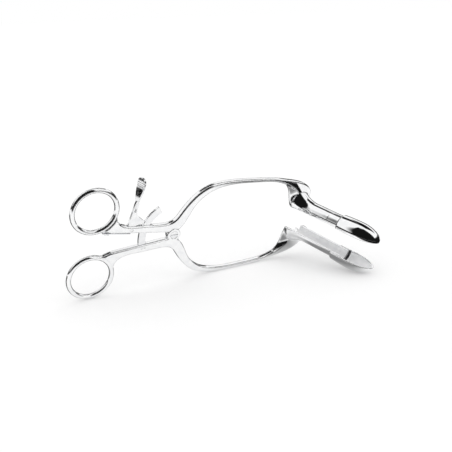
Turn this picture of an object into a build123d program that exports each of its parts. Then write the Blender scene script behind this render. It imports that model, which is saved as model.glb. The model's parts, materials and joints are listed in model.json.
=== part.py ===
from build123d import *
from math import cos, degrees, radians, sin, sqrt, tan
import os

# A ring-handled, self-holding anal speculum with two half-round blades.
# It is drawn about its hinge: X runs from the finger rings to the blades, Y towards the upper
# lever, and Z out of the plane of the handles along the hinge screw. The last step stands it on
# its lower lever, as it comes to rest on a table. All sizes are in millimetres and degrees.

# Levers: two forgings that are mirror images in the plane Y = 0
lever_thickness = 4.2
lever_rounding = 0.95  # rounding of the long edges
ring_radius = 15.0  # to the middle of the wire
ring_wire = 3.3
ring_bite = 0.8  # how deep the edge of the lever's flat sinks into the wire
ring_reach = 58.2  # hinge to ring centre, along X
ring_spread = 24.5  # middle of the handles to ring centre
shank_gap = 2.0  # half the gap between the shanks, carried on to the hinge
shank_depth = 5.2  # shank's width beside the lever's slot
bow_reach = 35.9  # middle of the handles to the outside of the bow
bow_width = 2.3  # where it is narrowest, towards the elbow
# Along the outside of the bow: shares of blade_reach, of bow_reach and of bow_width
bow_stations = [
    (0.0435, 0.479, 3.02),
    (0.1015, 0.691, 2.37),
    (0.1596, 0.841, 2.2),
    (0.2369, 0.954, 1.91),
    (0.3337, 1.0, 1.43),
    (0.6132, 0.978, 1.0),
    (0.7389, 0.947, 1.0),
]

# Elbow plate and half-round blade stem
blade_reach = 103.4  # hinge to the blade's centre line, in the plane of the handles
blade_gap = 9.0  # middle of the handles to the blade's rims at the elbow
blade_angle = 71.3  # blade's direction above the X axis
blade_splay = 0.8  # blades part towards their tips
stem_radius = 6.6
stem_drop = 0.5  # straight part of the stem's sides below the round
stem_wall = 1.5
stem_length = 46.5
elbow_drop = 4.9  # outside of the bow to the top of the elbow plate
flare_start = 1.2  # height above the middle of the plate where the stem's hollow flare starts
flare_end = 15.0
flare_crown = 5.2  # how far the flare stands out there, over the crown and at the two sides
flare_near = 1.1
flare_far = 1.3

# Blade tips: scoops that sleeve over the ends of the stems
tip_start = 39.0  # along the blade from the elbow
tip_length = 32.2
tip_radius = 8.85
tip_mouth_radius = 8.35
tip_nose = 18.0  # length of the rounded nose
tip_wall = 1.45
solder_gap = 0.04

# Hinge
lug_radius = 4.75
lug_clearance = 0.15
lap_gap = 0.06
screw_radius = 1.7
screw_head_radius = 2.7
screw_head_depth = 1.1
running_gap = 0.05
screw_slot_width = 0.6
screw_slot_depth = 0.5

# Ratchet: a toothed arc about the hinge, fixed in the lower shank and passing through the upper
rack_radius = 26.0  # to the tips of the teeth
rack_width = 5.0
rack_thickness = 1.6
rack_top_angle = 120.5
rack_root_angle = 200.0
tooth_count = 14
tooth_pitch = 2.6
tooth_depth = 0.5
first_tooth_angle = 127.0
slot_width = 2.1
slot_end_gap = 0.8
rivet_radius = 0.65
rivet_spacing = 2.1

# Release lever with its pawl, pin and leaf spring
pin_distance = 6.2  # tips of the teeth to the pin, along X
pin_radius = 0.9
pawl_thickness = 1.6
pawl_boss_radius = 2.2
pawl_angle = 150.0  # where the nose meets the ratchet, about the hinge
pawl_clearance = 0.25
neck_height = 29.0
neck_width = 2.1
lever_height = 44.6
thumb_width = 6.4
thumb_thickness = 1.4
thumb_lean = 2.4  # how far the top leans forward of the neck
thumb_turn = 20.0  # the thumb's side of the plate turned from the rings towards the front
groove_count = 4
groove_spacing = 1.5
groove_depth = 0.3
spring_screw_reach = 9.1  # ring's centre to the spring's screw, along X
spring_heel = 3.0  # the leaf's length beyond its screw
spring_width = 3.0
spring_thickness = 0.6
spring_lift = 0.35  # free end's distance from the shank
spring_screw_radius = 0.8
spring_screw_head_radius = 1.6
spring_screw_head_height = 0.8

half_thickness = lever_thickness / 2
# how far each shank's inner edge leaves the middle for each mm of X, to run out under its ring
shank_flare = (ring_spread - ring_radius - shank_gap) / (ring_reach + ring_wire)
pin_x = -rack_radius - pin_distance


def polar(radius, angle):
    return Vector(radius * cos(radians(angle)), radius * sin(radians(angle)))


def shank_inner(x):
    # height of the upper shank's inner edge at x, a straight line
    return shank_gap - shank_flare * x


def flat_solid(outline, thickness, middle=0.0):
    # a plate whose faces lie square to the hinge, centred on the height given
    return Pos(0, 0, middle - thickness / 2) * extrude(outline, thickness)


def ring_sector(inner, outer, start, end):
    # the region between two circles about the hinge and between two angles
    middle = (start + end) / 2
    return make_face(Wire([
        ThreePointArc(polar(outer, start), polar(outer, middle), polar(outer, end)),
        Line(polar(outer, end), polar(inner, end)),
        ThreePointArc(polar(inner, end), polar(inner, middle), polar(inner, start)),
        Line(polar(inner, start), polar(outer, start)),
    ]))


# Blade frame: its Z runs along the blade from the elbow, its X across and its Y to the crown
blade_direction = Vector(
    cos(radians(blade_angle)) * cos(radians(blade_splay)),
    sin(radians(blade_splay)),
    sin(radians(blade_angle)) * cos(radians(blade_splay)),
)
blade_across = Vector(sin(radians(blade_angle)), 0, -cos(radians(blade_angle)))
blade_plane = Plane(origin=(blade_reach, blade_gap, 0), x_dir=blade_across, z_dir=blade_direction)


def trough_section(half_width, drop, below=0.0):
    # half-round outline with short straight sides, standing on the rim plane
    return make_face(Wire([
        Line((-half_width, -below), (half_width, -below)),
        Line((half_width, -below), (half_width, drop)),
        ThreePointArc((half_width, drop), (0, drop + half_width), (-half_width, drop)),
        Line((-half_width, drop), (-half_width, -below)),
    ]))


def along_blade(section, start, end):
    return extrude(blade_plane.offset(start) * section, end - start)


elbow_top = bow_reach - elbow_drop


def bow_outside():
    # points along the outside of the upper bow, from the hinge towards the elbow
    return [Vector(x * blade_reach, y * bow_reach) for x, y, width in bow_stations]


def bow_inside():
    # the outside points moved inwards, square to the bow, by its width at each
    before = Vector(-0.015 * blade_reach, 0.284 * bow_reach)
    after = Vector(blade_reach - 13, elbow_top + 0.4)
    line = [before, *bow_outside(), after]
    points = []
    for index, (x, y, width) in enumerate(bow_stations):
        along = (line[index + 2] - line[index]).normalized()
        points.append(line[index + 1] + Vector(along.Y, -along.X) * width * bow_width)
    return points


def lever_outline():
    # Outer edge: off the ring in a hollow curve, along the shank, over the bow and the elbow
    ring_centre = Vector(-ring_reach, ring_spread)
    ring_edge = ring_radius + ring_wire / 2 - ring_bite
    ring_leave = ring_centre + polar(ring_edge, -14)
    shank_outer = shank_inner(-ring_reach + 26) + shank_depth
    far_side = blade_reach + stem_radius / sin(radians(blade_angle)) + 1.2
    outer_points = [
        ring_leave,
        (-ring_reach + 17.4, ring_spread - 10.6),
        (-ring_reach + 21.3, shank_outer + 0.5),
        (-0.416 * ring_reach, shank_outer - 1.1),
        (-0.157 * ring_reach, shank_outer - 2.2),
        (-0.0145 * blade_reach, 0.284 * bow_reach),
        *bow_outside(),
        (blade_reach - 13, elbow_top + 0.4),
        (blade_reach, elbow_top - 3.2),
        (far_side - 3.2, elbow_top - 6.2),
        (far_side - 0.2, elbow_top - 10.4),
        (far_side - 0.9, blade_gap + 7.0),
        (far_side - 3.4, blade_gap + 3.2),
    ]
    outer = Spline(outer_points)
    # Inner edge: along the straight shank to the hinge, then round the bow to the elbow's corner
    ring_touch = ring_centre + polar(ring_edge, -68)
    shank_start = (-ring_reach + 13, shank_inner(-ring_reach + 13))
    shank_end = (-5.2, shank_inner(-5.2))
    corner = (blade_reach - 15.8, elbow_top - 3.0)
    crotch = (lug_radius - 0.45, lug_radius - 0.35)
    inner_points = [
        crotch,
        *bow_inside(),
        corner,
    ]
    near_side = blade_reach - stem_radius / sin(radians(blade_angle))
    web_points = [
        corner,
        (near_side - 3.7, blade_gap + 12.3),
        (near_side - 2.0, blade_gap + 6.5),
        (near_side + 0.2, blade_gap),
    ]
    return make_face(Wire([
        outer,
        Line(outer_points[-1], (blade_reach, blade_gap + 1)),
        Line((blade_reach, blade_gap + 1), web_points[-1]),
        Spline(web_points[::-1]),
        Spline(inner_points[::-1]),
        Line(crotch, shank_end),
        Line(shank_end, shank_start),
        Spline([shank_start, ring_touch], tangents=[(-1, shank_flare), (-1, shank_flare)]),
        ThreePointArc(ring_touch, ring_centre + polar(ring_edge, -41), ring_leave),
    ]))


def web_curve(height):
    # where the hollow in the web's lower left side ends, from the blade's rim up to the bow's
    # corner: outside the web at the back of the plate, and deep into its front face
    share = min((height + half_thickness) / lever_thickness, 1.0)
    near_side = blade_reach - stem_radius / sin(radians(blade_angle))
    back = [
        Vector(near_side - 0.6, blade_gap - 1),
        Vector(near_side - 2.2, blade_gap + 5),
        Vector(near_side - 3.6, elbow_top - 11.4),
        Vector(near_side - 5.6, elbow_top - 7.0),
        Vector(near_side - 9.4, elbow_top - 2.6),
    ]
    front = [
        Vector(near_side + 0.4, blade_gap - 1),
        Vector(near_side + 0.9, blade_gap + 5),
        Vector(blade_reach - 3.4, elbow_top - 11.6),
        Vector(blade_reach - 7.8, elbow_top - 6.6),
        Vector(blade_reach - 15.2, elbow_top - 1.9),
    ]
    depth = 1 - (1 - share) ** 1.7
    return [start + (end - start) * depth for start, end in zip(back, front)]


def hollow_section(height):
    points = web_curve(height)
    outside = blade_reach - 2 * elbow_drop
    return Pos(0, 0, height) * make_face(Wire([
        Spline(points),
        Line(points[-1], (outside - elbow_drop, points[0].Y)),
        Line((outside - elbow_drop, points[0].Y), points[0]),
    ]))


def web_hollow():
    return loft([hollow_section(half_thickness * level) for level in (-0.9, -0.4, 0.2, 0.7, 1.1)])


def stem_section(height):
    # outline of the stem in a plane parallel to the handles, with its hollow flare near the plate
    along = min((height - flare_start) / (flare_end - flare_start), 1.0)
    growth = (1 - along) ** 2.6
    middle = blade_reach + height / tan(radians(blade_angle))
    base = blade_gap + height * tan(radians(blade_splay))
    side = stem_radius / sin(radians(blade_angle))
    near, far = side + flare_near * growth, side + flare_far * growth
    foot, crown = base + stem_drop, stem_radius + flare_crown * growth
    return Pos(0, 0, height) * make_face(Wire([
        Line((middle - near, foot), (middle - near, base)),
        Line((middle - near, base), (middle + far, base)),
        Line((middle + far, base), (middle + far, foot)),
        EllipticalCenterArc((middle, foot), far, crown, start_angle=0, arc_size=90),
        EllipticalCenterArc((middle, foot), near, crown, start_angle=90, arc_size=90),
    ]))


def stem_solid():
    steps = (0, 0.1, 0.22, 0.36, 0.52, 0.7, 0.86, 1)
    flare = loft([stem_section(flare_start + (flare_end - flare_start) * step) for step in steps])
    straight = extrude(stem_section(flare_end), stem_length, dir=blade_direction)
    reach = Box(stem_length, stem_length, stem_length, align=(Align.CENTER, Align.CENTER, Align.MIN))
    return flare + straight - blade_plane.offset(stem_length).location * reach


def stem_lumen():
    return along_blade(
        trough_section(stem_radius - stem_wall, stem_drop, below=3), -2 * lever_thickness, stem_length + 1
    )


def finger_ring():
    return Pos(-ring_reach, ring_spread, 0) * Torus(ring_radius, ring_wire / 2)


def lower_side(shape):
    return mirror(shape, about=Plane.XZ)


def lever_bar():
    # the flat part of the upper lever with its finger ring, the same from the front and the back
    bar = flat_solid(lever_outline(), lever_thickness)
    long_edges = [edge for edge in bar.edges() if edge.length > 12 and abs(edge.center().Z) > 1]
    return fillet(long_edges, lever_rounding) + finger_ring()


def lever_forging(side):
    # one lever with its half-thickness lug: side is 1 for the upper one, with its lug behind, and
    # -1 for the lower one, which is the mirror image but for its lug in front
    bar, hollow, stem, lumen = lever_bar(), web_hollow(), stem_solid(), stem_lumen()
    if side < 0:
        bar = Rot(180, 0, 0) * bar
        hollow, stem, lumen = lower_side(hollow), lower_side(stem), lower_side(lumen)
    lug_depth = half_thickness - lap_gap / 2
    lug = Pos(0, 0, -side * (half_thickness - lug_depth / 2)) * Cylinder(lug_radius, lug_depth)
    socket_depth = half_thickness + lap_gap / 2
    socket_middle = side * (half_thickness - socket_depth / 2)
    socket = Pos(0, 0, socket_middle) * Cylinder(lug_radius + lug_clearance, socket_depth)
    return bar - hollow + stem - lumen - socket + lug


def cross_pin(centre, radius, length):
    # a round bar along the hinge's direction, centred on the plane of the handles
    return Pos(centre.X, centre.Y, 0) * Cylinder(radius, length)


# Hinge screw: threaded into the upper lever's lug, free to turn in the lower lever's lug
def screw_hole(radius, head_radius, slack):
    bore = Cylinder(radius, 4 * lever_thickness)
    seat_depth = screw_head_depth + slack
    seat = Pos(0, 0, half_thickness - seat_depth / 2 + 0.5) * Cylinder(head_radius, seat_depth + 1)
    return bore + seat


def pivot_screw():
    shank = Pos(0, 0, -half_thickness) * Cylinder(
        screw_radius, lever_thickness, align=(Align.CENTER, Align.CENTER, Align.MIN)
    )
    head = Pos(0, 0, half_thickness - screw_head_depth) * Cylinder(
        screw_head_radius, screw_head_depth, align=(Align.CENTER, Align.CENTER, Align.MIN)
    )
    groove = Pos(0, 0, half_thickness) * Box(
        4 * screw_head_radius, screw_slot_width, 2 * screw_slot_depth
    )
    return shank + head - groove


# Ratchet
rack_inner = rack_radius - rack_width


def rack_bar(slack):
    # the plain arc, from its free top to its root in the lower shank
    end = rack_root_angle + degrees(slack / rack_radius)
    sector = ring_sector(rack_inner - slack, rack_radius + slack, rack_top_angle, end)
    return flat_solid(sector, rack_thickness + 2 * slack)


def tooth_gullet(angle):
    # the notch behind one tooth; the tooth's steep face looks down the arc
    outline = make_face(Wire([
        Line(polar(rack_radius + 1, angle), polar(rack_radius - tooth_depth, angle)),
        Line(polar(rack_radius - tooth_depth, angle), polar(rack_radius, angle + tooth_pitch)),
        Line(polar(rack_radius, angle + tooth_pitch), polar(rack_radius + 1, angle)),
    ]))
    return flat_solid(outline, 2 * rack_thickness)


def rivet_centre(side):
    return polar(rack_radius - rack_width / 2 + side * rivet_spacing / 2, rack_root_angle - 4)


def rack_rivet(side):
    return cross_pin(rivet_centre(side), rivet_radius, lever_thickness)


def ratchet_rack():
    rack = rack_bar(0)
    for index in range(tooth_count):
        rack -= tooth_gullet(first_tooth_angle + index * tooth_pitch)
    for side in (-1, 1):
        rack -= rack_rivet(side)
    return rack


# Release lever, hinged between the cheeks of the slotted upper shank
pin_centre = Vector(pin_x, shank_inner(pin_x) + shank_depth / 2)
slot_back = pin_x - pawl_boss_radius - slot_end_gap
slot_front = -rack_inner * cos(radians(34)) + slot_end_gap


def shank_slot():
    length = slot_front - slot_back
    outline = Plane.XZ * Pos((slot_front + slot_back) / 2, 0) * SlotOverall(length, slot_width)
    return extrude(outline, bow_reach, both=True) & Pos(slot_front - length, 0, 0) * Box(
        3 * length, bow_reach, lever_thickness, align=(Align.CENTER, Align.MIN, Align.CENTER)
    )


def pawl_plate():
    # flat part of the lever: boss on the pin, nose at the teeth, heel on the spring, slim neck
    nose = polar(rack_radius + pawl_clearance, pawl_angle)
    nose_back = polar(rack_radius + pawl_clearance + 0.1, pawl_angle + 2.2)
    boss_left = pin_centre + Vector(-pawl_boss_radius, 0)
    neck_left = (pin_x + 2.3, neck_height)
    neck_right = (pin_x + 3.6, neck_height)
    plate = make_face(Wire([
        Spline([boss_left, (pin_x - 1.7, pin_centre.Y + 5.2), (pin_x + 0.1, neck_height - 8),
                (pin_x + 1.0, neck_height - 4), neck_left]),
        Line(neck_left, neck_right),
        Spline([neck_right, (pin_x + 3.7, neck_height - 4.5), (pin_x + 3.2, neck_height - 9),
                (pin_x + 5.6, nose.Y + 3.2), nose]),
        Line(nose, nose_back),
        Spline([nose_back, (pin_x + 4.6, pin_centre.Y + 2.6), pin_centre + Vector(1.2, -1.2)]),
        Line(pin_centre + Vector(1.2, -1.2), boss_left),
    ]))
    boss = Pos(pin_centre) * Circle(pawl_boss_radius)
    heel = Pos(pin_centre + Vector(-1.4, -pawl_boss_radius + 0.6)) * Circle(0.8)
    return flat_solid(plate + boss + heel, pawl_thickness)


def thumb_plate():
    # upper part of the lever: a twisted neck, nearly square to the handles, spread for the thumb
    neck_x = pin_x + 2.95
    top_x = neck_x + thumb_lean
    middle = [
        (neck_x - 1.3, neck_height - 8),
        (neck_x - 0.1, neck_height - 1.2),
        (neck_x + 0.5, neck_height + 2.8),
        (top_x - 0.4, neck_height + 9),
        (top_x, lever_height),
    ]
    half = thumb_thickness / 2
    left = [(x - half, y) for x, y in middle]
    right = [(x + half, y) for x, y in middle]
    side_view = make_face(Wire([
        Spline(left), Line(left[-1], right[-1]), Spline(right[::-1]), Line(right[0], left[0]),
    ]))
    spread = thumb_width / 2
    edge = [
        (neck_width / 2, neck_height - 8),
        (neck_width / 2, neck_height - 1),
        (spread * 0.74, neck_height + 4),
        (spread, neck_height + 9.5),
        (spread * 0.72, lever_height - 0.9),
        (0, lever_height),
    ]
    other = [(-z, y) for z, y in edge]
    front_view = make_face(Wire([Spline(edge), Spline(other), Line(edge[0], other[0])]))
    facing = Plane(origin=(pin_x, 0, 0), x_dir=(0, 0, 1), z_dir=(-1, 0, 0))
    plate = flat_solid(side_view, thumb_width + 1) & extrude(facing * front_view, neck_height, both=True)
    for index in range(groove_count):
        height = lever_height - 2.2 - index * groove_spacing
        groove = Pos(top_x - half - 0.5 + groove_depth, height, 0) * Cylinder(0.5, thumb_width + 1)
        plate -= groove
    return Pos(neck_x, 0, 0) * Rot(0, thumb_turn, 0) * Pos(-neck_x, 0, 0) * plate


def release_lever():
    hole = cross_pin(pin_centre, pin_radius + running_gap, lever_thickness)
    return pawl_plate() + thumb_plate() - hole


def lever_pin():
    return cross_pin(pin_centre, pin_radius, lever_thickness)


# Leaf spring under the upper shank: its free end presses on the lever's heel
spring_end = pin_x - 0.4
spring_screw_x = -ring_reach + spring_screw_reach
spring_start = spring_screw_x - spring_heel


def leaf_spring():
    bend = spring_screw_x + spring_heel
    top = [
        (spring_start, shank_inner(spring_start)),
        (bend, shank_inner(bend)),
        (spring_end, shank_inner(spring_end) - spring_lift),
    ]
    bottom = [(x, y - spring_thickness) for x, y in top]
    outline = make_face(Polyline(*top, *bottom[::-1], close=True))
    leaf = flat_solid(outline, spring_width)
    return leaf - spring_screw_bar(spring_screw_radius)


def spring_screw_bar(radius):
    return spring_screw_plane.location * Cylinder(
        radius, 3.2, align=(Align.CENTER, Align.CENTER, Align.MIN)
    )


# The screw stands square to the shank's inner edge, its head under the leaf
screw_seat = Vector(spring_screw_x, shank_inner(spring_screw_x) - spring_thickness)
spring_screw_plane = Plane(origin=screw_seat, x_dir=(0, 0, 1), z_dir=(shank_flare, 1, 0))


def spring_screw():
    head = spring_screw_plane.location * Cylinder(
        spring_screw_head_radius, spring_screw_head_height, align=(Align.CENTER, Align.CENTER, Align.MAX)
    )
    slot_place = spring_screw_plane.offset(-spring_screw_head_height).location
    groove = slot_place * Box(0.5, 4 * spring_screw_head_radius, spring_screw_head_height)
    return spring_screw_bar(spring_screw_radius) + head - groove


# Blade tips
def tip_profile(radius, mouth_radius, start, corner):
    # half section of a round-nosed scoop, drawn with its length along X and its radius along Y
    end = tip_start + tip_length - (tip_radius - radius)
    nose = tip_nose - (tip_radius - radius)
    belly = (start + end - nose) / 2
    swell = mouth_radius + (radius - mouth_radius) * 0.7
    bend = corner * (1 - sqrt(0.5))
    return make_face(Wire([
        Line((start, 0), (start, mouth_radius - corner)),
        ThreePointArc((start, mouth_radius - corner), (start + bend, mouth_radius - bend),
                      (start + corner, mouth_radius)),
        Spline([(start + corner, mouth_radius), (belly, swell), (end - nose, radius)]),
        EllipticalCenterArc((end - nose, 0), nose, radius, start_angle=0, arc_size=90),
        Line((end, 0), (start, 0)),
    ]))


def turned_half(profile):
    # the profile turned half a circle about the blade's centre line, on the crown side of the rims
    upright = Plane(origin=blade_plane.origin, x_dir=blade_direction, z_dir=blade_plane.y_dir)
    return revolve(upright * profile, Axis(blade_plane.origin, blade_direction), 180)


def blade_tip():
    body = turned_half(tip_profile(tip_radius, tip_mouth_radius, tip_start, 0.6))
    scoop_start = stem_length + 0.5
    scoop_radius = tip_radius - tip_wall
    scoop = turned_half(tip_profile(scoop_radius, scoop_radius - 0.1, scoop_start, 0.4))
    pocket_section = trough_section(stem_radius + solder_gap, stem_drop, below=2)
    pocket = along_blade(pocket_section, tip_start - 3, scoop_start + 0.2)
    return body - scoop - pocket


# Standing: the part rests on its lower ring, its lower bow and its lower blade's nose
def lowest_points(up):
    # where each of the three touches a plane that is square to the direction given
    ring_flat = Vector(up.X, up.Y).normalized()
    ring = Vector(-ring_reach, -ring_spread) - ring_flat * ring_radius - up * (ring_wire / 2)
    inset = Vector(0, lever_rounding, half_thickness - lever_rounding)
    bow_edge = [Vector(point.X, -point.Y) + inset for point in bow_outside()]
    bow = min(bow_edge, key=lambda point: point.dot(up)) - up * lever_rounding
    along = Vector(blade_direction.X, -blade_direction.Y, blade_direction.Z)
    nose_middle = Vector(blade_reach, -blade_gap) + along * (tip_start + tip_length - tip_nose)
    lean = up.dot(along)
    across = up - along * lean
    reach = along * (tip_nose ** 2 * lean) + across * tip_radius ** 2
    nose = nose_middle - reach / sqrt((tip_nose * lean) ** 2 + (tip_radius * across.length) ** 2)
    return ring, bow, nose


def table_plane():
    # the plane through the three lowest points, found by a few repeated tries
    up = Vector(0, 1, 0)
    for attempt in range(12):
        ring, bow, nose = lowest_points(up)
        up = (nose - ring).cross(bow - ring).normalized()
    handle_axis = Vector(1, 0, 0)
    return Plane(origin=ring, x_dir=handle_axis - up * handle_axis.dot(up), z_dir=up)


os.makedirs("parts", exist_ok=True)
upper = lever_forging(1) - shank_slot() - lever_pin() - spring_screw_bar(spring_screw_radius)
upper -= Cylinder(screw_radius, 4 * lever_thickness)
lower = lever_forging(-1) - rack_bar(solder_gap)
lower -= screw_hole(screw_radius + running_gap, screw_head_radius + running_gap, running_gap)
for side in (-1, 1):
    lower -= rack_rivet(side)

pieces = {
    "lower_frame": lower,
    "lower_blade_tip": lower_side(blade_tip()),
    "ratchet_rack": ratchet_rack(),
    "rack_rivet_inner": rack_rivet(-1),
    "rack_rivet_outer": rack_rivet(1),
    "upper_frame": upper,
    "upper_blade_tip": blade_tip(),
    "pivot_screw": pivot_screw(),
    "lever_pin": lever_pin(),
    "leaf_spring": leaf_spring(),
    "spring_screw": spring_screw(),
    "release_lever": release_lever(),
}
table = table_plane()
standing = {name: table.to_local_coords(piece) for name, piece in pieces.items()}
box = Compound(list(standing.values())).bounding_box()
centre = Vector(box.center().X, box.center().Y, box.min.Z)
for name, piece in standing.items():
    piece = Pos(-centre) * piece
    print(name, round(piece.volume, 2), "mm3", len(piece.solids()), "solid")
    export_step(piece, f"parts/{name}.step")

hinge = table.to_local_coords(Vector(0, 0, 0)) - centre
pawl_pin = table.to_local_coords(pin_centre) - centre
hinge_axis = table.to_local_coords(Vector(0, 0, 1)) - table.to_local_coords(Vector(0, 0, 0))
print("hinge", hinge, "pawl pin", pawl_pin, "their axis", hinge_axis)
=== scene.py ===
import json

import bmesh
import bpy
import numpy as np
from mathutils import Matrix, Vector


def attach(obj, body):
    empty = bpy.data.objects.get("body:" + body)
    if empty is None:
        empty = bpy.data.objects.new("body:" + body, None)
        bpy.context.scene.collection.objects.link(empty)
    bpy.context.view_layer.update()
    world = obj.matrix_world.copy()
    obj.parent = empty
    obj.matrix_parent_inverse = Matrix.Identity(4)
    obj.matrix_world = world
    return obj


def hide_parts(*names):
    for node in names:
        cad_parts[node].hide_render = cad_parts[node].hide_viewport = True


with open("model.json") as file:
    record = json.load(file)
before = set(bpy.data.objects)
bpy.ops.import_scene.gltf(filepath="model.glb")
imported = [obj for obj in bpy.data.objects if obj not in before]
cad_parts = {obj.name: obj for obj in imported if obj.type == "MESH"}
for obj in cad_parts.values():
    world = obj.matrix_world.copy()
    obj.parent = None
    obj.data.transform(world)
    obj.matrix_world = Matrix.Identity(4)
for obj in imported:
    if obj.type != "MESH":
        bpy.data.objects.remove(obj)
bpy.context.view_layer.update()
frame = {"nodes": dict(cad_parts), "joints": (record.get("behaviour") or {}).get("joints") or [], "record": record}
mm = 0.001

# Camera: the photograph's place, direction and lens, worked out from the finger rings
view = {
    "place": (-0.244716, -0.412273, 0.192040),
    "right": (0.857575, -0.513828, -0.023368),
    "down": (-0.169841, -0.239994, -0.955802),
    "ahead": (0.485510, 0.823640, -0.293082),
    "lens": 59.87,
    "sensor": 36.0,
    "clip": (0.02, 20),
}


def makeCamera(values):
    # a camera's own axes run right, up and backwards, so down and ahead are turned round
    data = bpy.data.cameras.new("camera")
    data.lens = values["lens"]
    data.sensor_width = values["sensor"]
    data.clip_start, data.clip_end = values["clip"]
    camera = bpy.data.objects.new("camera", data)
    axes = np.array([values["right"], values["down"], values["ahead"]]) * [[1], [-1], [-1]]
    turned = Matrix(axes.T.tolist()).to_4x4()
    turned.translation = Vector(values["place"])
    camera.matrix_world = turned
    bpy.context.scene.collection.objects.link(camera)
    bpy.context.scene.camera = camera


makeCamera(view)
bpy.context.scene.view_settings.view_transform = "Standard"
print("camera placed")


# Mesh helpers
def gridPoints(x, y, z):
    # a grid of points, rows by columns by three, from arrays or numbers that span it together
    return np.stack(np.broadcast_arrays(x, y, z), -1)


def gridFaces(rows, columns, closed=False):
    # quads between neighbouring rows and columns of a grid of points, the last column joined
    # back to the first one where the grid is closed
    along = np.arange(rows - 1)[:, None]
    across = np.arange(columns if closed else columns - 1)[None, :]
    right = (across + 1) % columns
    corners = [along * columns + across, along * columns + right,
               (along + 1) * columns + right, (along + 1) * columns + across]
    size = (rows - 1, across.size)
    return np.stack([np.broadcast_to(corner, size) for corner in corners], -1).reshape(-1, 4)


def softStep(value, start, width):
    # 0 below start, 1 above start + width, and between them 3 s^2 - 2 s^3 of the share s
    share = np.clip((value - start) / width, 0, 1)
    return share * share * (3 - 2 * share)


def softRange(value, limits, width):
    # 1 between the limits, falling off smoothly to 0 over the width inside both of them
    low, high = limits
    return softStep(value, low, width) * softStep(-value, -high, width)


def addMesh(name, points, faces, smooth=True):
    mesh = bpy.data.meshes.new(name)
    mesh.from_pydata(points.reshape(-1, 3).tolist(), [], np.asarray(faces).tolist())
    mesh.polygons.foreach_set("use_smooth", np.full(len(mesh.polygons), smooth))
    mesh.update()
    piece = bpy.data.objects.new(name, mesh)
    bpy.context.scene.collection.objects.link(piece)
    return piece


def addShares(piece, label, shares):
    # an attribute with one number at each point of the mesh
    values = piece.data.attributes.new(label, "FLOAT", "POINT").data
    values.foreach_set("value", shares.ravel())


# Node helpers
def node(tree, kind, **values):
    made = tree.nodes.new(kind)
    for key, value in values.items():
        if hasattr(made, key):
            setattr(made, key, value)
        else:
            made.inputs[key.replace("_", " ")].default_value = value
    return made


def mathNode(tree, operation, first, second):
    made = node(tree, "ShaderNodeMath", operation=operation)
    for place, value in zip(made.inputs, (first, second)):
        if isinstance(value, (int, float)):
            place.default_value = value
        else:
            tree.links.new(value, place)
    return made.outputs[0]


def vectorNode(tree, operation, first, second=None, result="Vector"):
    made = node(tree, "ShaderNodeVectorMath", operation=operation)
    tree.links.new(first, made.inputs[0])
    if second is not None:
        made.inputs[1].default_value = [float(value) for value in second]
    return made.outputs[result]


def rangeNode(tree, value, old, new):
    made = node(tree, "ShaderNodeMapRange")
    made.inputs["From Min"].default_value, made.inputs["From Max"].default_value = old
    made.inputs["To Min"].default_value, made.inputs["To Max"].default_value = new
    tree.links.new(value, made.inputs["Value"])
    return made.outputs[0]


def rampNode(tree, source, stops):
    # a blend between two colours, each with its place between 0 and 1
    made = node(tree, "ShaderNodeValToRGB")
    for element, (place, colour) in zip(made.color_ramp.elements, stops):
        element.position = place
        element.color = (*colour, 1)
    tree.links.new(source, made.inputs["Fac"])
    return made.outputs["Color"]


def emptyMaterial(name):
    material = bpy.data.materials.new(name)
    material.use_nodes = True
    material.node_tree.nodes.clear()
    return material


def mixToOutput(tree, share, first, second):
    # the first shader where the share is 0 and the second where it is 1
    mixed = node(tree, "ShaderNodeMixShader")
    out = node(tree, "ShaderNodeOutputMaterial")
    tree.links.new(share, mixed.inputs["Fac"])
    tree.links.new(first.outputs[0], mixed.inputs[1])
    tree.links.new(second.outputs[0], mixed.inputs[2])
    tree.links.new(mixed.outputs[0], out.inputs["Surface"])


# Stage: white table and tent, as in a tabletop studio
stage = {
    "tableHalf": 6.0,
    "tableWhite": 0.9,
    "tableGlow": 0.13,
    "tentWhite": 1.0,
}


def makeTable(values):
    # white paper, with a faint glow that only the camera and reflections see, so that it comes out
    # as white as the photograph's
    half = values["tableHalf"]
    points = np.array([(-half, -half, 0), (half, -half, 0), (half, half, 0), (-half, half, 0)])
    table = addMesh("floor", points, [[0, 1, 2, 3]], smooth=False)
    material = emptyMaterial("whiteTable")
    tree = material.node_tree
    white = values["tableWhite"]
    paper = node(tree, "ShaderNodeBsdfDiffuse", Color=(white, white, white, 1))
    glow = node(tree, "ShaderNodeEmission", Color=(1, 1, 1, 1), Strength=values["tableGlow"])
    glowing = node(tree, "ShaderNodeAddShader")
    tree.links.new(paper.outputs[0], glowing.inputs[0])
    tree.links.new(glow.outputs[0], glowing.inputs[1])
    path = node(tree, "ShaderNodeLightPath")
    seen = path.outputs["Is Camera Ray"]
    for kind in ("Is Glossy Ray", "Is Transmission Ray"):
        seen = mathNode(tree, "MAXIMUM", seen, path.outputs[kind])
    mixToOutput(tree, seen, paper, glowing)
    table.data.materials.append(material)


def makeTent(values):
    world = bpy.data.worlds.new("tent")
    world.use_nodes = True
    shade = values["tentWhite"]
    world.node_tree.nodes["Background"].inputs["Color"].default_value = (shade, shade, shade, 1)
    bpy.context.scene.world = world


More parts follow.
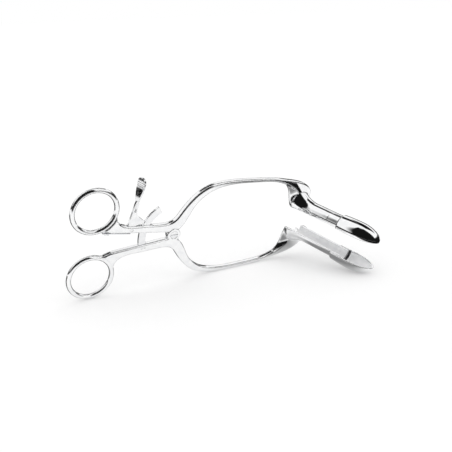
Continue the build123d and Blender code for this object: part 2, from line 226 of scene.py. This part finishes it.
# Black cards that only reflections show: dark is how black a card's middle is, from 0 to 1, and
# soft is how wide its edges fade. Those round the table lie on a dome, as ranges in degrees
domeCards = {
    "cameraSide": {"azimuth": (-188, -72), "elevation": (-6, 86), "soft": 7, "dark": 1.0},
    "leftSide": {"azimuth": (146, 192), "elevation": (-5, 13), "soft": 4, "dark": 1.0},
    "backTop": {"azimuth": (36, 112), "elevation": (47, 72), "soft": 4, "dark": 1.0},
    "rightTop": {"azimuth": (-14, 40), "elevation": (37, 73), "soft": 3, "dark": 1.0},
    "horizon": {"azimuth": (-20, 150), "elevation": (-1, 20), "soft": 3, "dark": 0.95},
}
dome = {"radius": 1.4, "height": 0.04, "rows": 70, "columns": 90}
# Those flat above the table, as ranges over X and Y in metres: behindLevers and besideBlade are painted shadow,
# dark where the scissors' own shadow lies on the table, and cameraSide darkens the table on the camera's side
tableShadeCards = {
    "behindLevers": {"x": (-0.30, 0.40), "y": (0.036, 0.45), "soft": (0.06, 0.008), "dark": 0.95},
    "besideBlade": {"x": (0.045, 0.095), "y": (-0.055, 0.040), "soft": (0.018, 0.020), "dark": 0.70},
    "cameraSide": {"x": (-1.20, 0.40), "y": (-1.30, -0.055), "soft": (0.10, 0.030), "dark": 1.0},
}
tableLayer = {"step": 0.0003, "points": 160}
# One upright at the front right, from one foot to the other
frontCard = {
    "from": (0.090, -0.175), "to": (0.290, -0.020), "height": 0.115,
    "soft": 0.025, "rows": 40, "columns": 60,
}
cardBlack = 0.008


def darkCard(name, points, cover):
    # cover is how dark the card is at each of its points, clear where it is 0
    card = addMesh(name, points, gridFaces(*cover.shape))
    card.visible_camera = False
    card.visible_diffuse = False
    card.visible_shadow = False
    card.visible_transmission = False
    addShares(card, "cover", cover)
    material = emptyMaterial(name)
    tree = material.node_tree
    amount = node(tree, "ShaderNodeAttribute", attribute_name="cover")
    clear = node(tree, "ShaderNodeBsdfTransparent")
    black = node(tree, "ShaderNodeEmission", Color=(cardBlack, cardBlack, cardBlack, 1))
    mixToOutput(tree, amount.outputs["Fac"], clear, black)
    card.data.materials.append(material)


def domeCard(name, card):
    # on a sphere, x = cos(rise) cos(turn), y = cos(rise) sin(turn) and z = sin(rise), times the
    # dome's radius and raised by its height
    azimuth = np.linspace(*card["azimuth"], dome["columns"])[None, :]
    elevation = np.linspace(*card["elevation"], dome["rows"])[:, None]
    turn, rise = np.radians(azimuth), np.radians(elevation)
    sphere = gridPoints(np.cos(rise) * np.cos(turn), np.cos(rise) * np.sin(turn), np.sin(rise))
    cover = softRange(azimuth, card["azimuth"], card["soft"])
    cover = cover * softRange(elevation, card["elevation"], card["soft"])
    darkCard(name, dome["radius"] * sphere + [0, 0, dome["height"]], card["dark"] * cover)


def tableShadeCard(name, card, height):
    # a level rectangle of painted shade on the table, its edges fading over one width along X and another along Y
    x = np.linspace(*card["x"], tableLayer["points"])[None, :]
    y = np.linspace(*card["y"], tableLayer["points"])[:, None]
    softX, softY = card["soft"]
    cover = card["dark"] * softRange(x, card["x"], softX) * softRange(y, card["y"], softY)
    darkCard("tableShade_" + name, gridPoints(x, y, height), cover)


def uprightCard(name, card):
    # a straight wall on the table: x and y run evenly from the first foot to the last one, z is
    # the level, and it fades at both ends and at the top
    first, last = np.array(card["from"]), np.array(card["to"])
    length = np.hypot(*(last - first))
    along = np.linspace(0, length, card["columns"])[None, :]
    level = np.linspace(0, card["height"], card["rows"])[:, None]
    x, y = (start + along / length * (stop - start) for start, stop in zip(first, last))
    cover = softRange(along, (0, length), card["soft"])
    cover = cover * softStep(-level, -card["height"], card["soft"])
    darkCard(name, gridPoints(x, y, level), cover)


makeTable(stage)
makeTent(stage)
for cardName, card in domeCards.items():
    domeCard(cardName, card)
for layer, (cardName, card) in enumerate(tableShadeCards.items(), 1):
    tableShadeCard(cardName, card, tableLayer["step"] * layer)
uprightCard("frontCard", frontCard)
print("stage made")

# The drawing's own axes in the scene: Z along the hinge, X level with the table, Y to the crowns
hinge = next(joint for joint in frame["joints"] if joint["name"] == "lever_hinge")
hingePlace = np.array(hinge["pos_m"]) / mm
axisZ = np.array(hinge["axis"]) / np.linalg.norm(hinge["axis"])
axisX = np.array([-axisZ[2], 0, axisZ[0]]) / np.hypot(axisZ[0], axisZ[2])
axisY = np.cross(axisZ, axisX)


def toScene(points):
    # points in millimetres on the drawing's axes, about the hinge, to metres in the scene
    return (points @ np.array([axisX, axisY, axisZ]) + hingePlace) * mm


# Blade frame: along the blade from the elbow, across it, and towards its crown
blade = {"reach": 103.4, "gap": 9.0, "angle": 71.3, "splay": 0.8}
bladeTurn, bladeSplay = np.radians(blade["angle"]), np.radians(blade["splay"])
bladeAlong = np.array([
    np.cos(bladeTurn) * np.cos(bladeSplay), np.sin(bladeSplay), np.sin(bladeTurn) * np.cos(bladeSplay),
])
bladeAcross = np.array([np.sin(bladeTurn), 0, -np.cos(bladeTurn)])
bladeCrown = np.cross(bladeAlong, bladeAcross)


def onBlade(along, across, crown, side):
    # side 1 is the upper blade, -1 its mirror image below
    elbow = np.array([blade["reach"], blade["gap"], 0])
    axes = np.array([bladeAlong, bladeAcross, bladeCrown])
    return (elbow + np.stack([along, across, crown], -1) @ axes) * [1, side, 1]


# Steel: bright polish; edge is how far its edges are worn round, in millimetres
finishes = {
    "lever_steel": {
        "dark": (0.90, 0.905, 0.915), "light": (0.965, 0.967, 0.97),
        "smooth": 0.03, "rough": 0.07, "edge": 1.3, "satin": "channel",
    },
    "blade_steel": {
        "dark": (0.90, 0.905, 0.915), "light": (0.965, 0.967, 0.97),
        "smooth": 0.03, "rough": 0.07, "edge": 0.3, "satin": "inside",
    },
    "ratchet_steel": {
        "dark": (0.84, 0.845, 0.86), "light": (0.93, 0.932, 0.935),
        "smooth": 0.08, "rough": 0.18, "edge": 0.3, "satin": None,
    },
    "pin_steel": {
        "dark": (0.82, 0.825, 0.84), "light": (0.92, 0.922, 0.925),
        "smooth": 0.06, "rough": 0.15, "edge": 0.3, "satin": None,
    },
    "spring_steel": {
        "dark": (0.66, 0.67, 0.70), "light": (0.82, 0.825, 0.84),
        "smooth": 0.16, "rough": 0.30, "edge": 0.2, "satin": None,
    },
}
# A faint waviness, fine polishing lines along X, and rub marks that change tone and roughness
grain = {
    "waves": {"Scale": 110.0, "Detail": 1.0},
    "lines": {"Scale": 1.0, "Detail": 3.0},
    "marks": {"Scale": 260.0, "Detail": 4.0},
    "lineStretch": (60, 1400, 1400),
    "waveBump": {"Strength": 0.2, "Distance": 0.04 * mm},
    "lineBump": {"Strength": 0.1, "Distance": 0.01 * mm},
    "toneRange": (0.35, 0.62),
    "rubRange": (0.4, 0.75),
    "edgeSamples": 6,
}
# Inside the blades the steel is a pale matt grey, and haze is how much less metallic it is. In
# millimetres, this finish fades out over the near distances from the blade's line and fades in
# over the past distances from the elbow
satin = {"rough": 0.36, "haze": 0.75, "near": (5.65, 5.85), "past": (1.5, 2.5)}
paintedShadeColour = (0.05, 0.05, 0.055)  # painted shade, darkening the groove and the step at the solder fillet
# The flat levers' edges are worn rounder than the blades' thin walls: depth is measured from the
# middle plane of the levers
edgeWear = {"thin": 0.3, "flatDepth": 3.0, "bladeDepth": 6.0}


def metres(values):
    return [value * mm for value in values]


def channelMask(tree, place):
    # 1 where a point is near enough to either blade's line, past the elbow: the distance is the
    # length of the cross product of the line's direction and the way from the elbow to the point
    masks = []
    for side in (1, -1):
        elbow, ahead = toScene(onBlade(np.array([0.0, 1.0]), np.zeros(2), np.zeros(2), side))
        direction = (ahead - elbow) / mm
        away = vectorNode(tree, "SUBTRACT", place, elbow)
        crossed = vectorNode(tree, "CROSS_PRODUCT", away, direction)
        gap = vectorNode(tree, "LENGTH", crossed, result="Value")
        along = vectorNode(tree, "DOT_PRODUCT", away, direction, "Value")
        near = rangeNode(tree, gap, metres(satin["near"]), (1, 0))
        past = rangeNode(tree, along, metres(satin["past"]), (0, 1))
        masks.append(mathNode(tree, "MULTIPLY", near, past))
    return mathNode(tree, "MAXIMUM", *masks)


def edgeRadius(tree, place, edge):
    # the radius of worn edges, from the flat levers' at the middle plane to the thin walls'
    offset = vectorNode(tree, "SUBTRACT", place, hingePlace * mm)
    height = vectorNode(tree, "DOT_PRODUCT", offset, axisZ, "Value")
    depth = mathNode(tree, "ABSOLUTE", height, 0.0)
    depths = metres((edgeWear["flatDepth"], edgeWear["bladeDepth"]))
    return rangeNode(tree, depth, depths, metres((edge, edgeWear["thin"])))


def makeSteel(name, values):
    material = bpy.data.materials.new(name + "_finish")
    material.use_nodes = True
    tree = material.node_tree
    shader = tree.nodes["Principled BSDF"]
    shader.inputs["Metallic"].default_value = 1.0
    place = node(tree, "ShaderNodeTexCoord").outputs["Object"]
    stretch = node(tree, "ShaderNodeMapping", Scale=grain["lineStretch"])
    waves = node(tree, "ShaderNodeTexNoise", **grain["waves"])
    lines = node(tree, "ShaderNodeTexNoise", **grain["lines"])
    marks = node(tree, "ShaderNodeTexNoise", **grain["marks"])
    for reader in (stretch, waves, marks):
        tree.links.new(place, reader.inputs["Vector"])
    tree.links.new(stretch.outputs[0], lines.inputs["Vector"])

    stops = zip(grain["toneRange"], (values["dark"], values["light"]))
    tone = rampNode(tree, marks.outputs["Fac"], stops)
    if values["satin"] == "inside":
        # painted shade: this attribute darkens the tips' groove and the step at the solder fillet towards a
        # near-black colour
        paintedShade = node(tree, "ShaderNodeAttribute", attribute_name="paintedShade")
        shadeMix = node(tree, "ShaderNodeMix", data_type="RGBA")
        shadeMix.inputs["B"].default_value = (*paintedShadeColour, 1)
        tree.links.new(paintedShade.outputs["Fac"], shadeMix.inputs["Factor"])
        tree.links.new(tone, shadeMix.inputs["A"])
        tone = shadeMix.outputs["Result"]
    tree.links.new(tone, shader.inputs["Base Color"])

    rubs = (values["smooth"], values["rough"])
    rubbed = rangeNode(tree, marks.outputs["Fac"], grain["rubRange"], rubs)
    matt = None
    if values["satin"] == "channel":
        matt = channelMask(tree, place)
    if values["satin"] == "inside":
        matt = node(tree, "ShaderNodeAttribute", attribute_name="inside").outputs["Fac"]
    if matt is not None:
        rubbed = mathNode(tree, "MAXIMUM", rubbed, mathNode(tree, "MULTIPLY", matt, satin["rough"]))
        metal = rangeNode(tree, matt, (0, 1), (1, 1 - satin["haze"]))
        tree.links.new(metal, shader.inputs["Metallic"])
    tree.links.new(rubbed, shader.inputs["Roughness"])

    worn = node(tree, "ShaderNodeBevel", samples=grain["edgeSamples"])
    worn.inputs["Radius"].default_value = values["edge"] * mm
    if values["satin"] == "channel":
        tree.links.new(edgeRadius(tree, place, values["edge"]), worn.inputs["Radius"])
    wavy = node(tree, "ShaderNodeBump", **grain["waveBump"])
    fine = node(tree, "ShaderNodeBump", **grain["lineBump"])
    tree.links.new(waves.outputs["Fac"], wavy.inputs["Height"])
    tree.links.new(lines.outputs["Fac"], fine.inputs["Height"])
    tree.links.new(worn.outputs[0], wavy.inputs["Normal"])
    tree.links.new(wavy.outputs[0], fine.inputs["Normal"])
    tree.links.new(fine.outputs[0], shader.inputs["Normal"])
    return material


steels = {slot: makeSteel(slot, values) for slot, values in finishes.items()}
for part in frame["record"]["subparts"]:
    for place in frame["nodes"][part["node"]].material_slots:
        place.material = steels[part["material_slot"]]
print("steel finishes made")


def closedPiece(name, points, slot, body, replaced, marks):
    # a solid whose surface is a grid of points, closed round its columns: its faces are turned
    # outwards by the sign of its volume, which is the sum over the faces' two triangles of
    # a . (b x c), and points that fall together are joined into one
    faces = gridFaces(points.shape[0], points.shape[1], closed=True)
    places = toScene(points.reshape(-1, 3))
    a, b, c, d = (places[faces[:, corner]] for corner in range(4))
    volume = (a * np.cross(b, c)).sum() + (a * np.cross(c, d)).sum()
    piece = addMesh(name, places, faces if volume > 0 else faces[:, ::-1])
    for label, shares in marks.items():
        addShares(piece, label, np.broadcast_to(shares, points.shape[:2]).astype(float))
    work = bmesh.new()
    work.from_mesh(piece.data)
    bmesh.ops.remove_doubles(work, verts=work.verts, dist=0.0001 * mm)
    work.to_mesh(piece.data)
    work.free()
    piece.data.materials.append(steels[slot])
    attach(piece, body)
    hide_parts(replaced)


# Blade tips: scoops sleeved over the stems, with a solder fillet at the mouth. Lengths run along
# the blade from the elbow. Inside, past the stem's end, come a groove and a raised ridge, each
# given by where its step begins, the step's length and the radius that it reaches, and then the
# scoop. Painted shade lies over part of the groove and of the fillet, with its share there
tip = {
    "start": 39.0,
    "end": 71.2,
    "radius": 8.85,
    "mouthRadius": 8.35,
    "mouthCorner": 0.8,
    "swellPower": 1.8,
    "nose": 18.0,
    "wall": 1.45,
    "stemRadius": 6.62,
    "stemDrop": 0.5,
    "groove": (46.7, 0.2, 7.45),
    "ridge": (48.5, 0.2, 6.5),
    "scoop": (49.5, 1.6),
    "filletLength": 0.9,
    "filletRise": 0.63,
    "rim": 0.45,
    "rimPowers": (0.6, 0.5),
    "grooveShade": (46.7, 48.6, 1.0),
    "solderStepShade": (38.25, 39.1, 0.8),
}
# How many points the tips' surfaces have along their stretches, with the close rows' range
tipGrid = {
    "corner": 10, "plain": 16, "close": 40, "closeRange": (46.6, 51.2), "last": 8,
    "nose": 48, "around": 72, "rim": 14,
}


def tipProfiles(values):
    # outside and inside of the scoop as rows of (along, radius, drop): the outside climbs the solder
    # fillet and the rounded mouth, swells by a power curve and ends in a quarter of an ellipse
    start, end, nose, wall = (values[key] for key in ("start", "end", "nose", "wall"))
    radius, mouthRadius, corner = values["radius"], values["mouthRadius"], values["mouthCorner"]
    seat, drop = values["stemRadius"], values["stemDrop"]
    quarter = np.linspace(0, np.pi / 2, tipGrid["corner"])
    climb = np.stack([
        start - values["filletLength"] * (1 - np.sin(quarter)),
        seat + values["filletRise"] * (1 - np.cos(quarter)),
        drop * np.cos(quarter),
    ], -1)
    mouth = np.stack([
        start + corner * (1 - np.cos(quarter)),
        mouthRadius - corner * (1 - np.sin(quarter)),
        0 * quarter,
    ], -1)
    # rows stand closer together round the groove and the ridge
    closeRows = np.linspace(*tipGrid["closeRange"], tipGrid["close"])
    along = np.concatenate([
        np.linspace(start + corner, closeRows[0], tipGrid["plain"])[1:-1],
        closeRows,
        np.linspace(closeRows[-1], end - nose, tipGrid["last"])[1:],
    ])
    share = (along - along[0]) / (along[-1] - along[0])
    swell = mouthRadius + (radius - mouthRadius) * (1 - (1 - share) ** values["swellPower"])
    body = np.stack([along, swell, 0 * along], -1)
    turned = np.linspace(0, np.pi / 2, tipGrid["nose"])[1:]
    tail = np.stack([
        end - nose + nose * np.sin(turned),
        radius * np.cos(turned),
        0 * turned,
    ], -1)
    outside = np.concatenate([climb, mouth, body, tail])

    # the inside lies on the stem first, then each step leads smoothly from one radius to the next
    sleeved = outside[:len(climb) + len(mouth), 0]
    sleeve = np.stack([sleeved, seat + 0 * sleeved, drop + 0 * sleeved], -1)
    innerRadius = radius - wall
    deep = seat + 0 * along
    steps = (values["groove"], values["ridge"], (*values["scoop"], innerRadius))
    for begin, length, reached in steps:
        deep = deep + (reached - deep) * softStep(along, begin, length)
    stemEnd, ledge, _ = values["groove"]
    pocket = np.stack([along, deep, drop * (1 - softStep(along, stemEnd, ledge))], -1)
    inner = np.stack([
        end - nose + (nose - wall) * np.sin(turned),
        innerRadius * np.cos(turned),
        0 * turned,
    ], -1)
    return outside, np.concatenate([sleeve, pocket, inner])


def paintedShadeOver(along, values):
    # a share of painted shade between two lengths along the blade, and none elsewhere
    low, high, share = values
    return share * ((along > low) & (along < high))


def scoopSurface(values, outside, inside, side):
    # each profile point becomes half a circle round the blade's line, raised by its drop; the rims
    # join the two half circles along a flattened oval, so that their corners are rounded
    def arc(profile):
        along, radius, drop = (profile[:, column, None] for column in range(3))
        low = np.minimum(values["rim"], radius / 2)
        lift = np.maximum(low - drop, 0)
        begin = np.arcsin(np.clip(lift / np.maximum(radius, 1e-6), 0, 1))
        sweep = begin + (np.pi - 2 * begin) * np.linspace(0, 1, tipGrid["around"])
        return gridPoints(along, radius * np.cos(sweep), drop + radius * np.sin(sweep))

    out, back = arc(outside), arc(inside)[:, ::-1]
    oval = np.linspace(0, np.pi, tipGrid["rim"])[1:-1]
    acrossPower, downPower = values["rimPowers"]
    cosine = np.cos(oval)
    share = ((1 - np.sign(cosine) * np.abs(cosine) ** acrossPower) / 2)[None, :, None]
    dip = (1 - np.sin(oval) ** downPower)[None, :, None] * [0, 0, 1] + [1, 1, 0]
    first = (out[:, -1:] * (1 - share) + back[:, :1] * share) * dip
    second = (back[:, -1:] * (1 - share) + out[:, :1] * share) * dip
    strips = (out, first, back, second)
    along, across, crown = np.moveaxis(np.concatenate(strips, 1), -1, 0)
    # marks: the inside's matt finish, and painted shade in the groove and at the solder fillet
    isInside = np.concatenate([np.full(strip.shape[1], float(strip is back)) for strip in strips])
    paintedShade = isInside * paintedShadeOver(along, values["grooveShade"])
    paintedShade = paintedShade + (1 - isInside) * paintedShadeOver(along, values["solderStepShade"])
    return onBlade(along, across, crown, side), {"inside": isInside, "paintedShade": paintedShade}


tipOutside, tipInside = tipProfiles(tip)
for level, side in (("upper", 1), ("lower", -1)):
    surface, marks = scoopSurface(tip, tipOutside, tipInside, side)
    closedPiece(level + "Tip", surface, "blade_steel", level + "_lever", level + "_blade_tip", marks)
print("blade tips made")
